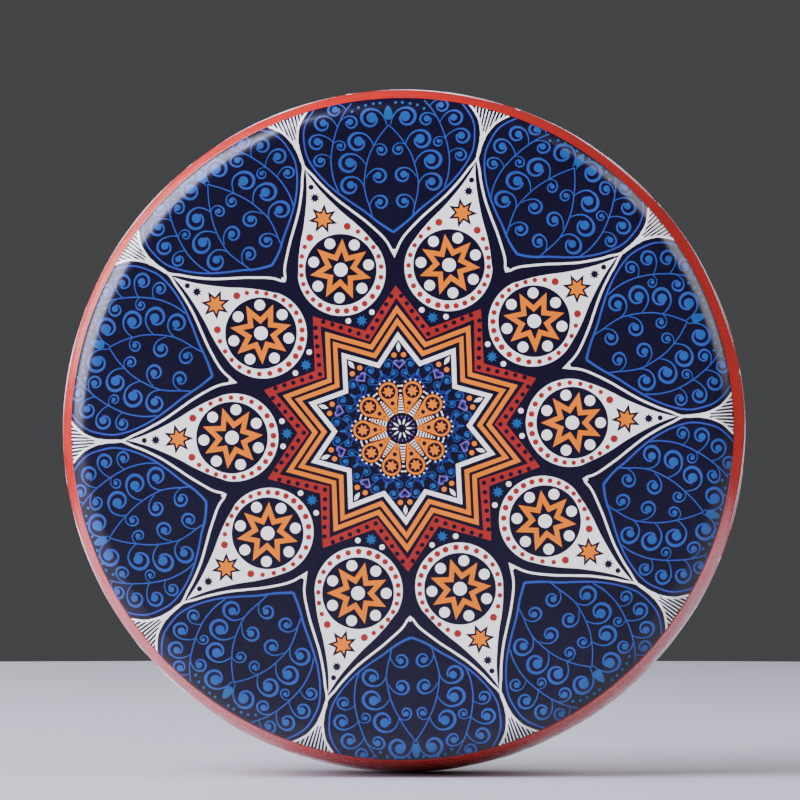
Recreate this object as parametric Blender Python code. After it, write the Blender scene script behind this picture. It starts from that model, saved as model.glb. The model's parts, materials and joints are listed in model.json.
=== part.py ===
"""Frame drum with rings, a hand drum of the dap family.

Units are metres and +Z is up. The drum's axis lies along Y: the skin faces -Y and the open back
faces +Y, so the drum stands on its edge, as it does when it is played. The origin is on the drum's
axis, halfway between the skin's face and the back edge.

Sixteen units sit round the inner wall. Each one is a dished washer, a wire eye driven into the wall
through the washer, and a bent ring that hangs from the eye and swings about its tip.
"""

import math

import bmesh
import bpy
from mathutils import Matrix, Vector

# The frame's driving dimensions.
OUTER_RADIUS = 0.125  # at the ridge where the side wall meets the back bevel
FRONT_RADIUS = 0.1197  # the side wall where it meets the rounding under the skin
INNER_RADIUS = 0.107
DEPTH = 0.058  # from the skin's face to the back edge
BEVEL_DEPTH = 0.010  # from the back edge to the ridge
BAND_OUTER_RADIUS = 0.1168  # the zigzag band fills the back edge from the inner wall to here
BAND_THICKNESS = 0.0015
BAND_LIP = 0.0005  # the narrow flat of the back hoop outside the band
SKIN_THICKNESS = 0.0005
SHOULDER_RADIUS = 0.008  # the rounding of the hoop's front edge under the skin
SHOULDER_WRAP = math.radians(54)  # how far the skin follows that rounding
GAP = 0.0003  # clearance between pieces that touch

# One unit of washer, eye and ring.
UNITS = 16
UNIT_FROM_BACK = 0.014  # from the back edge to the middle of a unit
CUP_RADIUS = 0.00975
CUP_HOLE_RADIUS = 0.0026
CUP_HEIGHT = 0.0043  # from the wall to the washer's rim
CUP_SEAT_RADIUS = 0.0052  # the flat middle that lies on the wall
CUP_THICKNESS = 0.0008
CUP_CLEARANCE = 0.0005
EYE_WIRE_RADIUS = 0.00065
EYE_LOOP_RADIUS = 0.00535  # to the middle of the wire
EYE_CENTRE = 0.0095  # from the wall to the middle of the loop
EYE_LEG_OFFSET = 0.00075  # each leg's distance from the middle of its hole
EYE_LEG_DEPTH = 0.006  # how deep the legs go into the wall
HOLE_RADIUS = 0.0017
HOLE_DEPTH = 0.0068
RING_WIRE_RADIUS = 0.0014
RING_RADIUS = 0.0092  # to the middle of the wire
RING_DROP = 0.0067  # from the eye's tip to the middle of the ring
RING_STOP = math.radians(90)  # a ring turned this far from the radius lies against its washer
RING_SLIT = 0.0003  # between the ends of the bent wire

# Facets. The hoops' sides are an odd multiple of the units, so that every unit sits mid-facet.
HOOP_SIDES = 80
CUP_SIDES = 14
HOLE_SIDES = 8
BARREL_STEPS = 4
SHOULDER_STEPS = 4
LOOP_POINTS = 12
RING_POINTS = 13

BACK = DEPTH / 2
FRONT = -DEPTH / 2
RIDGE = BACK - BEVEL_DEPTH
HOOP_FRONT = FRONT + SKIN_THICKNESS + GAP
SHOULDER_CENTRE = FRONT_RADIUS - SHOULDER_RADIUS
BAND_SEAT = BACK - BAND_THICKNESS - GAP
UNIT_Y = BACK - UNIT_FROM_BACK
PIVOT_RADIUS = INNER_RADIUS - EYE_CENTRE - EYE_LOOP_RADIUS


def material(name, colour, roughness, metallic):
    """A plain surface of one colour."""
    made = bpy.data.materials.new(name)
    made.use_nodes = True
    shader = made.node_tree.nodes["Principled BSDF"]
    shader.inputs["Base Color"].default_value = (*colour, 1.0)
    shader.inputs["Roughness"].default_value = roughness
    shader.inputs["Metallic"].default_value = metallic
    return made


def empty(name, parent=None):
    """A bare axis that other objects hang from."""
    made = bpy.data.objects.new(name, None)
    made.empty_display_size = 0.01
    made.parent = parent
    bpy.context.scene.collection.objects.link(made)
    return made


def add(name, data, surface, parent):
    """An object in the scene, on its parent."""
    made = bpy.data.objects.new(name, data)
    if not data.materials:
        data.materials.append(surface)
    made.parent = parent
    bpy.context.scene.collection.objects.link(made)
    return made


def turned_mesh(name, profile, sides):
    """The solid that a closed profile of (radius, height) points sweeps round its Z axis."""
    bm = bmesh.new()
    corners = [bm.verts.new((radius, 0.0, height)) for radius, height in profile]
    edges = []
    for corner, following in zip(corners, corners[1:] + corners[:1]):
        edges.append(bm.edges.new((corner, following)))
    bmesh.ops.spin(
        bm, geom=corners + edges, cent=(0, 0, 0), axis=(0, 0, 1), steps=sides, angle=2 * math.pi
    )
    bmesh.ops.remove_doubles(bm, verts=bm.verts, dist=1e-6)
    bmesh.ops.dissolve_degenerate(bm, edges=bm.edges, dist=1e-6)
    bmesh.ops.recalc_face_normals(bm, faces=bm.faces)
    mesh = bpy.data.meshes.new(name)
    bm.to_mesh(mesh)
    bm.free()
    mesh.shade_smooth()
    mesh.set_sharp_from_angle(angle=math.radians(30))
    return mesh


def turned(name, profile, surface, drum):
    """A piece turned about the drum's axis, from points of (radius, place along Y)."""
    piece = add(name, turned_mesh(name, profile, HOOP_SIDES), surface, drum)
    piece.rotation_euler.x = -math.pi / 2
    return piece


def wire(name, wire_radius, points):
    """A round wire with flat ends along a run of points."""
    data = bpy.data.curves.new(name, "CURVE")
    data.dimensions = "3D"
    data.bevel_depth = wire_radius
    data.bevel_resolution = 1
    data.use_fill_caps = True
    spline = data.splines.new("POLY")
    spline.points.add(len(points) - 1)
    for point, place in zip(spline.points, points):
        point.co = (*place, 1.0)
    spline.use_smooth = True
    return data


def side_radius(y):
    """The barrel-shaped side wall, widest at the ridge."""
    along = (RIDGE - y) / (RIDGE - (HOOP_FRONT + SHOULDER_RADIUS))
    return OUTER_RADIUS - (OUTER_RADIUS - FRONT_RADIUS) * along**2


def shoulder(radius, turn):
    """A point of a rounding about the shoulder's centre, turned from straight ahead to sideways."""
    centre_y = HOOP_FRONT + SHOULDER_RADIUS
    return SHOULDER_CENTRE + radius * math.sin(turn), centre_y - radius * math.cos(turn)


def shell_profile():
    """The side wall's section: flat front, rounded shoulder, barrel side and flat back."""
    points = [(INNER_RADIUS, HOOP_FRONT)]
    for step in range(SHOULDER_STEPS):
        points.append(shoulder(SHOULDER_RADIUS, step / SHOULDER_STEPS * math.pi / 2))
    low = HOOP_FRONT + SHOULDER_RADIUS
    high = RIDGE - GAP / 2
    for step in range(BARREL_STEPS + 1):
        y = low + (high - low) * step / BARREL_STEPS
        points.append((side_radius(y), y))
    points.append((INNER_RADIUS, high))
    return points


def back_hoop_profile():
    """The bevelled back ring's section, with a rebate for the zigzag band."""
    seat_radius = BAND_OUTER_RADIUS + GAP
    return [
        (INNER_RADIUS, RIDGE + GAP / 2),
        (OUTER_RADIUS, RIDGE + GAP / 2),
        (seat_radius + BAND_LIP, BACK),
        (seat_radius, BACK),
        (seat_radius, BAND_SEAT),
        (INNER_RADIUS, BAND_SEAT),
    ]


def band_profile():
    """The zigzag band's section, flush with the back edge."""
    low = BACK - BAND_THICKNESS
    return [
        (INNER_RADIUS, low),
        (BAND_OUTER_RADIUS, low),
        (BAND_OUTER_RADIUS, BACK),
        (INNER_RADIUS, BACK),
    ]


def skin_profile():
    """The skin's section: a flat disc whose edge wraps the hoop's shoulder."""
    outside = SHOULDER_RADIUS + GAP + SKIN_THICKNESS
    inside = SHOULDER_RADIUS + GAP
    turns = [SHOULDER_WRAP * step / SHOULDER_STEPS for step in range(SHOULDER_STEPS + 1)]
    face = [(0.0, FRONT)] + [shoulder(outside, turn) for turn in turns]
    back = [shoulder(inside, turn) for turn in reversed(turns)] + [(0.0, FRONT + SKIN_THICKNESS)]
    return face + back


def cup_profile():
    """The dished washer's section, as (radius, height above the wall)."""
    seat = CUP_CLEARANCE
    return [
        (CUP_HOLE_RADIUS, seat),
        (CUP_SEAT_RADIUS, seat),
        (CUP_RADIUS, CUP_HEIGHT - CUP_THICKNESS / 2),
        (CUP_RADIUS - CUP_THICKNESS * 0.8, CUP_HEIGHT),
        (CUP_SEAT_RADIUS - CUP_THICKNESS / 4, seat + CUP_THICKNESS),
        (CUP_HOLE_RADIUS, seat + CUP_THICKNESS),
    ]


def eye_points():
    """The eye's wire: up one leg, round the loop and back into the wall, with -Z towards the axis."""
    neck = math.radians(25)
    half = [
        (EYE_LEG_OFFSET, -EYE_LEG_DEPTH),
        (EYE_LEG_OFFSET, EYE_CENTRE * 0.25),
        (EYE_LEG_OFFSET * 1.6, EYE_CENTRE * 0.39),
    ]
    outline = [(-across, height) for across, height in half]
    for step in range(LOOP_POINTS):
        angle = neck + (2 * math.pi - 2 * neck) * step / (LOOP_POINTS - 1)
        across = -EYE_LOOP_RADIUS * math.sin(angle)
        outline.append((across, EYE_CENTRE - EYE_LOOP_RADIUS * math.cos(angle)))
    outline += reversed(half)
    return [Vector((0, across, -height)) for across, height in outline]


def ring_points(slit_angle):
    """A bent ring below its pivot, with the ends of its wire meeting at the slit."""
    half_slit = math.asin(RING_SLIT / 2 / RING_RADIUS)
    lead = math.radians(3)  # a short first step keeps the wire's ends square
    start = half_slit + lead
    span = 2 * math.pi - 2 * start
    angles = [half_slit]
    angles += [start + span * step / (RING_POINTS - 1) for step in range(RING_POINTS)]
    angles.append(2 * math.pi - half_slit)
    points = []
    for angle in angles:
        around = slit_angle + angle
        x = RING_RADIUS * math.sin(around)
        points.append(Vector((x, 0.0, RING_RADIUS * math.cos(around) - RING_DROP)))
    return points


def rest_turn(unit_turn):
    """How far a ring turns from its unit's radius to hang straight down, or to lie on the washer."""
    hang = -math.remainder(unit_turn, 2 * math.pi)
    return max(-RING_STOP, min(RING_STOP, hang))


def hole_cutter(turns, drum):
    """Sixteen blind holes for the legs of the eyes."""
    bm = bmesh.new()
    middle = INNER_RADIUS + HOLE_DEPTH / 2 - HOLE_RADIUS / 2
    for turn in turns:
        place = Matrix.Rotation(turn, 4, "Y") @ Matrix.Translation((0, UNIT_Y, middle))
        bmesh.ops.create_cone(
            bm, cap_ends=True, segments=HOLE_SIDES, radius1=HOLE_RADIUS, radius2=HOLE_RADIUS,
            depth=HOLE_DEPTH + HOLE_RADIUS, matrix=place,
        )
    mesh = bpy.data.meshes.new("eye_holes")
    bm.to_mesh(mesh)
    bm.free()
    cutter = bpy.data.objects.new("eye_holes", mesh)
    cutter.parent = drum
    cutter.hide_render = True
    cutter.display_type = "WIRE"
    bpy.context.scene.collection.objects.link(cutter)
    return cutter


def main():
    for old in list(bpy.data.objects):
        bpy.data.objects.remove(old, do_unlink=True)
    lacquer = material("red_lacquer", (0.62, 0.022, 0.014), 0.28, 0.0)
    skin = material("printed_skin", (0.03, 0.06, 0.25), 0.4, 0.0)
    inlay = material("zigzag_inlay", (0.45, 0.44, 0.42), 0.35, 0.0)
    aluminium = material("aluminium", (0.72, 0.73, 0.75), 0.35, 1.0)
    steel = material("steel_wire", (0.6, 0.58, 0.56), 0.25, 1.0)

    drum = empty("drum")
    turns = [2 * math.pi * (unit + 0.5) / UNITS for unit in range(UNITS)]
    shell = turned("shell_hoop", shell_profile(), lacquer, drum)
    holes = shell.modifiers.new("eye_holes", "BOOLEAN")
    holes.object = hole_cutter(turns, drum)
    turned("back_hoop", back_hoop_profile(), lacquer, drum)
    turned("zigzag_band", band_profile(), inlay, drum)
    turned("drum_skin", skin_profile(), skin, drum)

    cup = turned_mesh("cup_washer", cup_profile(), CUP_SIDES)
    eye = wire("wire_eye", EYE_WIRE_RADIUS, eye_points())
    slits = [math.radians(angle) for angle in (75, 200, 290)]
    rings = [wire("jingle_ring", RING_WIRE_RADIUS, ring_points(slit)) for slit in slits]
    for unit, turn in enumerate(turns):
        number = f"{unit + 1:02d}"
        spot = empty(f"unit_{number}", drum)
        spot.rotation_euler.y = turn
        washer = add(f"cup_washer_{number}", cup, aluminium, spot)
        washer.location = (0, UNIT_Y, INNER_RADIUS)
        washer.rotation_euler.x = math.pi
        staple = add(f"wire_eye_{number}", eye, steel, spot)
        staple.location = (0, UNIT_Y, INNER_RADIUS)
        ring = add(f"jingle_ring_{number}", rings[unit % len(rings)], aluminium, spot)
        ring.location = (0, UNIT_Y, PIVOT_RADIUS)
        ring.rotation_euler.y = rest_turn(turn)


main()
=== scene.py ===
"""Looks of a frame drum with rings: a printed skin on a red lacquered hoop, seen from the skin's side.

The drum's axis lies along Y and the skin faces -Y. Lengths are in metres, except the print's layout
and the painted scrolls, which are drawn in millimetres.
"""
import json
import math
import random

import bmesh
import bpy
import numpy as np
from mathutils import Matrix, Vector


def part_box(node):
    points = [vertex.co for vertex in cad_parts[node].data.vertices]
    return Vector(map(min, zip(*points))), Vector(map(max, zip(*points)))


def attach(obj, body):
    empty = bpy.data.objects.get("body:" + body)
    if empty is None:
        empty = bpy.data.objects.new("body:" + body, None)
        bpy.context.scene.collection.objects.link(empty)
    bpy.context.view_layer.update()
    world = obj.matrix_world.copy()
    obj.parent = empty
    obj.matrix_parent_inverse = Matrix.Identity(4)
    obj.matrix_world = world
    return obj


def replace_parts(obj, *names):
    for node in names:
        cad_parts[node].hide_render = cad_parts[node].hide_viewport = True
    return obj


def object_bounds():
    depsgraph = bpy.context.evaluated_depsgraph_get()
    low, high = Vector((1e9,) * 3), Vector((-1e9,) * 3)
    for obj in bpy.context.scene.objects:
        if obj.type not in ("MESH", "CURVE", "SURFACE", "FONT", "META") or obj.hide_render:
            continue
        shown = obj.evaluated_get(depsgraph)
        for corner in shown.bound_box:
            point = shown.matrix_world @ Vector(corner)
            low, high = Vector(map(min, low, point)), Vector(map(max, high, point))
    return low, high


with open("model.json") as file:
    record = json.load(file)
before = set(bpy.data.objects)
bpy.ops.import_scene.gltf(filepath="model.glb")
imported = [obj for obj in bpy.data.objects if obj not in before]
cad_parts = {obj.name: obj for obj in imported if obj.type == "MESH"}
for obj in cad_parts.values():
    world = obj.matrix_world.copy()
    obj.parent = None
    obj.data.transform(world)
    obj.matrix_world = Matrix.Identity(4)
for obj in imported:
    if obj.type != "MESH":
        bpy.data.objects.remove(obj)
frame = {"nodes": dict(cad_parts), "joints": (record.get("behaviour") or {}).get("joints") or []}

cad_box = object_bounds()
MM = 0.001
GAP = 0.0003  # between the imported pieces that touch

# The hoops, from the frame.
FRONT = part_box("drum_skin")[0].y
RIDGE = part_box("back_hoop")[0].y - GAP / 2
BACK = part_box("back_hoop")[1].y
OUTER_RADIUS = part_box("back_hoop")[1].x
BAND_OUTER_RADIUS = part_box("zigzag_band")[1].x
BAND_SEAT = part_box("zigzag_band")[0].y
INNER_RADIUS = min(math.hypot(v.co.x, v.co.z) for v in frame["nodes"]["zigzag_band"].data.vertices)
UNIT_Y = frame["joints"][0]["pos_m"][1]

# The hoops' rounding under the skin, and the skin that wraps it.
FRONT_RADIUS = 0.1197
SHOULDER_RADIUS = 0.008
SKIN_THICKNESS = 0.0005
SHOULDER_WRAP = math.radians(54)
HOOP_FRONT = FRONT + SKIN_THICKNESS + GAP
SHOULDER_Y = HOOP_FRONT + SHOULDER_RADIUS
SHOULDER_CENTRE = FRONT_RADIUS - SHOULDER_RADIUS
SKIN_TURN_RADIUS = SHOULDER_RADIUS + GAP + SKIN_THICKNESS
BEVEL_BULGE = 0.0007
BAND_LIP = 0.0008

# One unit of washer, eye and ring.
CUP_RADIUS = 0.00975
CUP_HOLE_RADIUS = 0.0026
CUP_HEIGHT = 0.0043
CUP_SEAT_RADIUS = 0.0052
CUP_THICKNESS = 0.0008
CUP_CLEARANCE = 0.0005
EYE_WIRE_RADIUS = 0.00065
EYE_LOOP_RADIUS = 0.00535
EYE_CENTRE = 0.0095
EYE_LEG_OFFSET = 0.00075
EYE_LEG_DEPTH = 0.006
HOLE_RADIUS = 0.0017
HOLE_DEPTH = 0.0068
RING_WIRE_RADIUS = 0.0014
RING_RADIUS = 0.0092
RING_DROP = 0.0067
RING_SLIT = 0.0003

HOOP_SEGMENTS = 288
ZIGZAG_TEETH = 38
SCROLLS = 12

random.seed(26)


# ---------------------------------------------------------------- meshes


def piece(name, points, faces, surface, body="frame", sharp=35.0):
    """A smooth-shaded mesh that rides a body and takes its finish from a slot."""
    mesh = bpy.data.meshes.new(name)
    mesh.from_pydata([tuple(point) for point in points], [], faces)
    mesh.validate()
    made = bpy.data.objects.new(name, mesh)
    bpy.context.scene.collection.objects.link(made)
    mesh.materials.append(surface)
    mesh.shade_smooth()
    mesh.set_sharp_from_angle(angle=math.radians(sharp))
    if body:
        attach(made, body)
    return made


def outward(made):
    """Turns a closed mesh's faces outwards."""
    bm = bmesh.new()
    bm.from_mesh(made.data)
    bmesh.ops.remove_doubles(bm, verts=bm.verts, dist=1e-7)
    bmesh.ops.recalc_face_normals(bm, faces=bm.faces)
    bm.to_mesh(made.data)
    bm.free()
    made.data.set_sharp_from_angle(angle=math.radians(35))
    return made


def bake_modifiers(made, sharp=35.0):
    """Replaces a piece's mesh with what its modifiers make of it."""
    bpy.context.view_layer.update()
    shaped = made.evaluated_get(bpy.context.evaluated_depsgraph_get())
    made.data = bpy.data.meshes.new_from_object(shaped)
    made.modifiers.clear()
    made.data.name = made.name
    made.data.shade_smooth()
    made.data.set_sharp_from_angle(angle=math.radians(sharp))


def turned_faces(count, segments):
    """The faces between copies of a closed outline of count points, turned all the way round."""
    faces = []
    for k in range(segments):
        here, after = k * count, (k + 1) % segments * count
        for i in range(count):
            j = (i + 1) % count
            faces.append((here + i, here + j, after + j, after + i))
    return faces


def lathe(name, profile, surface, segments=HOOP_SEGMENTS, body="frame"):
    """A closed profile of (radius, place along Y) points, turned about the Y axis."""
    turns = [2 * math.pi * k / segments for k in range(segments)]
    points = [(r * math.sin(a), y, r * math.cos(a)) for a in turns for r, y in profile]
    return outward(piece(name, points, turned_faces(len(profile), segments), surface, body))


def rounded(corners, steps=4):
    """A closed outline whose corners (x, y, rounding radius) are replaced with arcs."""
    outline = []
    count = len(corners)
    for i, (x, y, radius) in enumerate(corners):
        here = Vector((x, y))
        if radius <= 0:
            outline.append((x, y))
            continue
        before = (Vector(corners[i - 1][:2]) - here).normalized()
        after = (Vector(corners[(i + 1) % count][:2]) - here).normalized()
        half = before.angle(after) / 2
        start, end = here + before * radius / math.tan(half), here + after * radius / math.tan(half)
        centre = here + (before + after).normalized() * radius / math.sin(half)
        a, b = start - centre, end - centre
        for step in range(steps + 1):
            bent = a.lerp(b, step / steps).normalized() * radius
            outline.append(tuple(centre + bent))
    return outline


def smooth_run(points, per_span=6):
    """A smooth curve through points of any number of columns."""
    known = np.array(points, float)
    padded = np.vstack([2 * known[0] - known[1], known, 2 * known[-1] - known[-2]])
    run = []
    for i in range(1, len(padded) - 2):
        p0, p1, p2, p3 = padded[i - 1 : i + 3]
        for step in range(per_span):
            t = step / per_span
            run.append(
                p1 + (p2 - p0) * t / 2
                + (2 * p0 - 5 * p1 + 4 * p2 - p3) * t**2 / 2
                + (3 * p1 - p0 - 3 * p2 + p3) * t**3 / 2
            )
    run.append(known[-1])
    return np.array(run)


def normals(run):
    """The left-hand normals of a flat run of points."""
    along = np.gradient(run[:, :2], axis=0)
    along /= np.linalg.norm(along, axis=1)[:, None] + 1e-12
    return np.stack([-along[:, 1], along[:, 0]], axis=1)


def tube(name, centres, radii, surface, sides=16, body="frame", closed=False, side_axis=(1, 0, 0)):
    """A round wire along points, with rounded ends where it isn't closed."""
    centres = [Vector(c) for c in centres]
    count = len(centres)
    points, faces = [], []
    reference = Vector(side_axis)
    for i, centre in enumerate(centres):
        before = centres[i - 1] if closed or i else centres[0]
        after = centres[(i + 1) % count] if closed or i < count - 1 else centres[-1]
        along = (after - before).normalized()
        across = (reference - along * reference.dot(along)).normalized()
        other = along.cross(across)
        for k in range(sides):
            a = 2 * math.pi * k / sides
            points.append(centre + (across * math.cos(a) + other * math.sin(a)) * radii[i])
    for i in range(count if closed else count - 1):
        j = (i + 1) % count
        for k in range(sides):
            m = (k + 1) % sides
            faces.append((i * sides + k, i * sides + m, j * sides + m, j * sides + k))
    if not closed:
        faces.append(tuple(range(sides))[::-1])
        faces.append(tuple((count - 1) * sides + k for k in range(sides)))
    return outward(piece(name, points, faces, surface, body))


# ---------------------------------------------------------------- surfaces


class Surface:
    """A Principled material, with what feeds it worked out by nodes."""

    def __init__(self, name, **constants):
        self.material = bpy.data.materials.new(name)
        self.material.use_nodes = True
        self.tree = self.material.node_tree
        self.shader = self.tree.nodes["Principled BSDF"]
        self.place = self.tree.nodes.new("ShaderNodeTexCoord").outputs["Object"]
        for socket, value in constants.items():
            self.shader.inputs[socket.replace("_", " ")].default_value = value

    def node(self, kind, settings=None, **inputs):
        made = self.tree.nodes.new("ShaderNode" + kind)
        for name, value in (settings or {}).items():
            setattr(made, name, value)
        for name, value in inputs.items():
            self.feed(made.inputs[name], value)
        return made

    def feed(self, socket, value):
        if isinstance(value, bpy.types.NodeSocket):
            self.tree.links.new(value, socket)
        else:
            socket.default_value = value

    def noise(self, scale, detail=3.0, roughness=0.55, stretch=None, distortion=0.0):
        place = self.place
        if stretch:
            place = self.node("Mapping", Vector=place, Scale=stretch).outputs[0]
        made = self.node(
            "TexNoise", Vector=place, Scale=scale, Detail=detail, Roughness=roughness, Distortion=distortion
        )
        return made.outputs["Fac"]

    def cells(self, scale, feature="F1"):
        made = self.node("TexVoronoi", {"feature": feature}, Vector=self.place, Scale=scale)
        return made.outputs["Distance"]

    def span(self, value, low, high, start=0.0, end=1.0):
        """value from low..high, clamped, as start..end."""
        made = self.node("MapRange")
        for name, given in (("Value", value), ("From Min", low), ("From Max", high),
                            ("To Min", start), ("To Max", end)):
            self.feed(made.inputs[name], given)
        return made.outputs[0]

    def mix(self, share, first, second):
        made = self.node("MixRGB")
        self.feed(made.inputs[0], share)
        for socket, colour in ((made.inputs[1], first), (made.inputs[2], second)):
            self.feed(socket, colour if isinstance(colour, bpy.types.NodeSocket) else (*colour, 1.0))
        return made.outputs[0]

    def sum(self, first, second, share=1.0):
        scaled = self.node("Math", {"operation": "MULTIPLY"})
        self.feed(scaled.inputs[0], second)
        scaled.inputs[1].default_value = share
        made = self.node("Math", {"operation": "ADD"})
        self.feed(made.inputs[0], first)
        self.feed(made.inputs[1], scaled.outputs[0])
        return made.outputs[0]

    def finish(self, colour=None, roughness=None, height=None, depth=0.0001, strength=1.0):
        if colour is not None:
            self.feed(self.shader.inputs["Base Color"], colour)
        if roughness is not None:
            self.feed(self.shader.inputs["Roughness"], roughness)
        if height is not None:
            bump = self.node("Bump", Height=height, Distance=depth, Strength=strength)
            self.feed(self.shader.inputs["Normal"], bump.outputs[0])
        return self.material


def tone(colour, factor):
    """A colour made lighter or darker."""
    return tuple(min(1.0, channel * factor) for channel in colour)


def lacquer_surface():
    """Glossy red lacquer, brushed on by hand over turned wood."""
    made = Surface("red_lacquer", Coat_Weight=0.1, Coat_Roughness=0.16, IOR=1.3, Specular_IOR_Level=0.4)
    cloud = made.span(made.noise(28.0, 4.0), 0.3, 0.7)
    streak = made.span(made.noise(90.0, 3.0, stretch=(1.0, 9.0, 1.0)), 0.35, 0.7)
    colour = made.mix(cloud, (0.40, 0.0075, 0.0045), (0.52, 0.012, 0.007))
    colour = made.mix(made.span(streak, 0.0, 1.0, 0.0, 0.22), colour, (0.60, 0.024, 0.012))
    speck = made.span(made.noise(420.0, 2.0), 0.68, 0.74, 0.0, 0.5)
    colour = made.mix(speck, colour, (0.40, 0.01, 0.008))
    peel = made.noise(330.0, 2.0, 0.5)
    height = made.sum(peel, made.noise(55.0, 3.0), 1.6)
    height = made.sum(height, streak, 0.35)
    return made.finish(colour, made.span(made.noise(140.0, 4.0), 0.3, 0.7, 0.19, 0.33), height, 0.00009, 0.6)


def ink_surface(name, colour, spread=0.16, gloss=0.3):
    """Printing ink on the grained skin, a little uneven."""
    made = Surface(name, IOR=1.4, Specular_IOR_Level=0.22, Coat_Weight=0.68, Coat_Roughness=0.25)
    cloud = made.span(made.noise(45.0, 3.0), 0.3, 0.7)
    grain = made.span(made.noise(2300.0, 2.0, 0.6), 0.34, 0.66)
    shade = made.mix(cloud, tone(colour, 1 - spread), tone(colour, 1 + spread))
    shade = made.mix(made.span(grain, 0.0, 1.0, 0.0, 0.45), shade, tone(colour, 1 - 2.2 * spread))
    height = made.sum(made.noise(1500.0, 3.0, 0.6), made.cells(900.0), 0.55)
    return made.finish(shade, made.span(grain, 0.0, 1.0, gloss - 0.05, gloss + 0.07), height, 0.00002, 0.35)


def hide_surface():
    """The unprinted inner face of the skin."""
    made = Surface("skin_back", IOR=1.45, Subsurface_Weight=0.08, Subsurface_Radius=(0.004, 0.003, 0.002))
    made.shader.inputs["Subsurface Scale"].default_value = 0.5
    cloud = made.span(made.noise(16.0, 5.0), 0.3, 0.7)
    fibre = made.span(made.noise(260.0, 4.0, stretch=(1.0, 1.0, 4.0)), 0.35, 0.68)
    colour = made.mix(cloud, (0.62, 0.53, 0.40), (0.74, 0.67, 0.55))
    colour = made.mix(made.span(fibre, 0.0, 1.0, 0.0, 0.5), colour, (0.50, 0.41, 0.29))
    height = made.sum(made.noise(900.0, 4.0), fibre, 0.5)
    return made.finish(colour, made.span(fibre, 0.0, 1.0, 0.5, 0.68), height, 0.00009, 0.8)


def inlay_surface(name, colour, other):
    """A polished inlay strip with faint scratches."""
    made = Surface(name, IOR=1.45, Specular_IOR_Level=0.4, Coat_Weight=0.2, Coat_Roughness=0.12)
    cloud = made.span(made.noise(120.0, 4.0), 0.3, 0.7)
    scratch = made.span(made.noise(700.0, 2.0, stretch=(1.0, 1.0, 7.0)), 0.6, 0.72)
    shade = made.mix(cloud, colour, other)
    height = made.sum(made.noise(260.0, 3.0), scratch, -0.35)
    return made.finish(shade, made.span(scratch, 0.0, 1.0, 0.26, 0.4), height, 0.00006, 0.6)


def paint_surface():
    """White paint put on with a dry brush."""
    made = Surface("white_paint", IOR=1.48, Coat_Weight=0.2, Coat_Roughness=0.2)
    drag = made.span(made.noise(420.0, 4.0, stretch=(1.0, 0.35, 1.0)), 0.36, 0.7)
    colour = made.mix(made.span(drag, 0.0, 1.0, 0.0, 0.55), (0.80, 0.78, 0.82), (0.66, 0.54, 0.58))
    height = made.sum(made.noise(800.0, 3.0), drag, -0.8)
    return made.finish(colour, made.span(drag, 0.0, 1.0, 0.34, 0.52), height, 0.00008, 0.8)


def wood_and_ridge_highlight_surface(name, pale, dark):
    """Bare wood where the lacquer has gone; in a paler red, the painted highlight along the ridge."""
    made = Surface(name, IOR=1.3, Specular_IOR_Level=0.3)
    grain = made.span(made.noise(500.0, 4.0, stretch=(1.0, 6.0, 1.0)), 0.35, 0.68)
    return made.finish(made.mix(grain, pale, dark), made.span(grain, 0.0, 1.0, 0.5, 0.72), grain, 0.0001, 0.8)


def metal_surface(name, pale, dark, gloss, scratches, turned=False):
    """Bare metal with cloudy dullness and fine scratches."""
    made = Surface(name, Metallic=1.0, IOR=1.45)
    cloud = made.span(made.noise(210.0, 4.0), 0.3, 0.72)
    scratch = made.noise(1100.0, 3.0, stretch=(1.0, 5.0, 1.0) if turned else (0.5, 1.0, 3.0))
    scratch = made.span(scratch, 0.5, 0.72)
    speck = made.span(made.noise(640.0, 2.0), 0.66, 0.74, 0.0, 0.6)
    colour = made.mix(speck, made.mix(cloud, pale, dark), tone(dark, 0.6))
    rough = made.sum(made.span(cloud, 0.0, 1.0, gloss - 0.05, gloss + 0.09), scratch, 0.12)
    height = made.sum(made.noise(420.0, 3.0), scratch, -0.4 * scratches)
    return made.finish(colour, rough, height, 0.00005, 0.65)


LACQUER = lacquer_surface()
HIDE = hide_surface()
INK = {
    "navy": ink_surface("ink_navy", (0.0026, 0.0010, 0.0130), 0.2),
    "cream": ink_surface("ink_cream", (0.90, 0.89, 0.79), 0.03),
    "orange": ink_surface("ink_orange", (0.74, 0.178, 0.0004), 0.08),
    "red": ink_surface("ink_red", (0.29, 0.018, 0.013), 0.1),
    "deep": ink_surface("ink_deep_blue", (0.034, 0.034, 0.32), 0.12),
    "blue": ink_surface("ink_blue", (0.010, 0.086, 0.25), 0.14),
    "royal": ink_surface("ink_royal_blue", (0.012, 0.017, 0.15), 0.16),
    "lilac": ink_surface("ink_lilac", (0.17, 0.085, 0.34), 0.1),
}
BLACK_INLAY = inlay_surface("inlay_black", (0.003, 0.003, 0.004), (0.012, 0.011, 0.014))
WHITE_INLAY = inlay_surface("inlay_white", (0.74, 0.73, 0.78), (0.83, 0.82, 0.84))
PAINT = paint_surface()
BARE_WOOD = wood_and_ridge_highlight_surface("bare_wood", (0.70, 0.47, 0.22), (0.48, 0.27, 0.10))
# A paler red copy of the lacquer: the painted highlight along the ridge.
PAINTED_RIDGE_HIGHLIGHT = wood_and_ridge_highlight_surface("painted_ridge_highlight", (0.56, 0.12, 0.075), (0.45, 0.020, 0.011))
ALUMINIUM = metal_surface("spun_aluminium", (0.80, 0.81, 0.84), (0.62, 0.63, 0.66), 0.34, 1.0, turned=True)
RING_METAL = metal_surface("ring_aluminium", (0.74, 0.74, 0.75), (0.52, 0.52, 0.53), 0.32, 1.0)
STEEL = metal_surface("steel_wire", (0.80, 0.77, 0.74), (0.55, 0.50, 0.46), 0.17, 0.5)


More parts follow.
